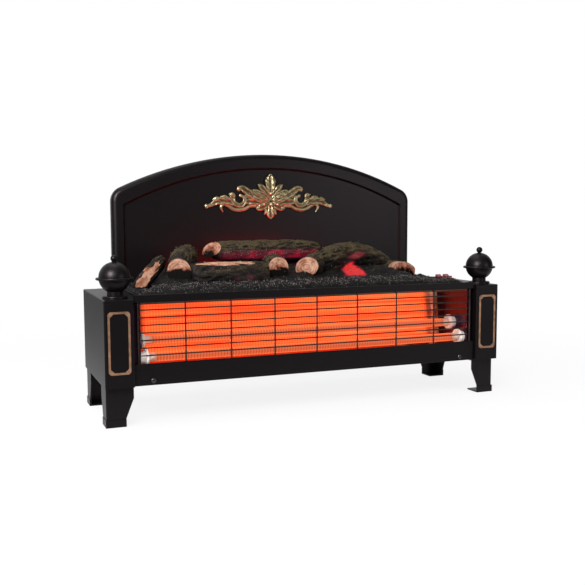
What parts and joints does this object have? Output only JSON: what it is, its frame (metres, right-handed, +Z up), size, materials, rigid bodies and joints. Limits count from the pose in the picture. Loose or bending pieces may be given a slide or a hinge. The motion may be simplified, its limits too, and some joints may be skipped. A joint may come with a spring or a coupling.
{
  "type": "freestanding electric fire",
  "caption": "Freestanding black radiant electric fire with silica-tube elements behind a wire guard, a lit log bed, ball finials and an arched back plate with a gilt acanthus ornament.",
  "frame": {"origin": "on the floor under the middle of the box that holds the fire", "axes": "+X to the right seen from the front, along the width; +Y to the back; +Z up"},
  "size_m": [0.6516, 0.221, 0.3965],
  "materials": {
    "black_enamel": "satin black stove enamel",
    "gilt": "satin gilt",
    "antique_gold": "antiqued cast finish",
    "polished_reflector": "bright polished sheet",
    "guard_wire": "bright plated wire",
    "silica": "milky silica tube, glowing",
    "resistance_wire": "glowing wire",
    "ceramic_white": "unglazed",
    "zinc_steel": "zinc plated",
    "dark_screw": "blackened",
    "ember_resin": "translucent moulding, painted",
    "log_resin": "painted bark with tan sawn ends",
    "lamp_glass": "red lacquered glass",
    "lamp_brass": "plain",
    "holder_plastic": "white moulding",
    "spinner_foil": "bright sheet",
    "switch_black": "moulded",
    "rocker_red": "translucent red moulding",
    "bush_rubber": "moulded"
  },
  "bodies": {
    "chassis": {"apron": "black_enamel", "apron_screws": "dark_screw", "back_plate": "black_enamel", "base_tray": "zinc_steel", "cable_bush": "bush_rubber", "ceramic_caps": "ceramic_white", "column_trim_left": "gilt", "column_trim_right": "gilt", "end_casing_left": "black_enamel", "end_casing_right": "black_enamel", "finial_base_left": "black_enamel", "finial_base_right": "black_enamel", "finial_bead_left": "black_enamel", "finial_bead_right": "black_enamel", "finial_cap_left": "black_enamel", "finial_cap_right": "black_enamel", "finial_nuts": "zinc_steel", "fireguard": "guard_wire", "foot_front_left": "black_enamel", "foot_front_right": "black_enamel", "foot_rear_left": "black_enamel", "foot_rear_right": "black_enamel", "foot_screws": "zinc_steel", "heat_shield": "zinc_steel", "heating_coil_lower": "resistance_wire", "heating_coil_upper": "resistance_wire", "lamp_brackets": "zinc_steel", "lamp_caps": "lamp_brass", "lamp_glass_left": "lamp_glass", "lamp_glass_right": "lamp_glass", "lamp_holders": "holder_plastic", "ornament": "antique_gold", "ornament_clips": "zinc_steel", "rear_panel": "black_enamel", "rear_screws": "zinc_steel", "reflector": "polished_reflector", "reflector_end_left": "polished_reflector", "reflector_end_right": "polished_reflector", "silica_tube_lower": "silica", "silica_tube_upper": "silica", "spinner_stand_left": "zinc_steel", "spinner_stand_right": "zinc_steel", "switch_body_left": "switch_black", "switch_body_right": "switch_black", "terminal_block": "holder_plastic", "terminal_studs": "zinc_steel", "thermal_cutout": "zinc_steel", "top_rail": "black_enamel"},
    "log_bed": {"log_front": "log_resin", "log_left": "log_resin", "log_left_end": "log_resin", "log_rear": "log_resin", "log_right": "log_resin", "log_right_end": "log_resin", "log_stub": "log_resin", "ember_bed": "ember_resin"},
    "switch_rocker_left": {"rocker_left": "rocker_red"},
    "switch_rocker_right": {"rocker_right": "rocker_red"},
    "flicker_spinner_left": {"spinner_left": "spinner_foil"},
    "flicker_spinner_right": {"spinner_right": "spinner_foil"}
  },
  "joints": [
    {"name": "bed_lift", "type": "slide", "parent": "chassis", "child": "log_bed", "axis": [0, 0, 1], "range_m": [0, 0.12]},
    {"name": "rocker_left_tip", "type": "hinge", "parent": "chassis", "child": "switch_rocker_left", "pos_m": [0.2915, 0.0233, 0.179], "axis": [1, 0, 0], "range_deg": [-18, 0]},
    {"name": "rocker_right_tip", "type": "hinge", "parent": "chassis", "child": "switch_rocker_right", "pos_m": [0.3065, 0.0233, 0.179], "axis": [1, 0, 0], "range_deg": [-18, 0]},
    {"name": "spinner_left_turn", "type": "hinge", "parent": "chassis", "child": "flicker_spinner_left", "pos_m": [-0.118, 0.0413, 0.148], "axis": [0, 0, 1], "continuous": true},
    {"name": "spinner_right_turn", "type": "hinge", "parent": "chassis", "child": "flicker_spinner_right", "pos_m": [0.118, 0.0413, 0.148], "axis": [0, 0, 1], "continuous": true}
  ]
}
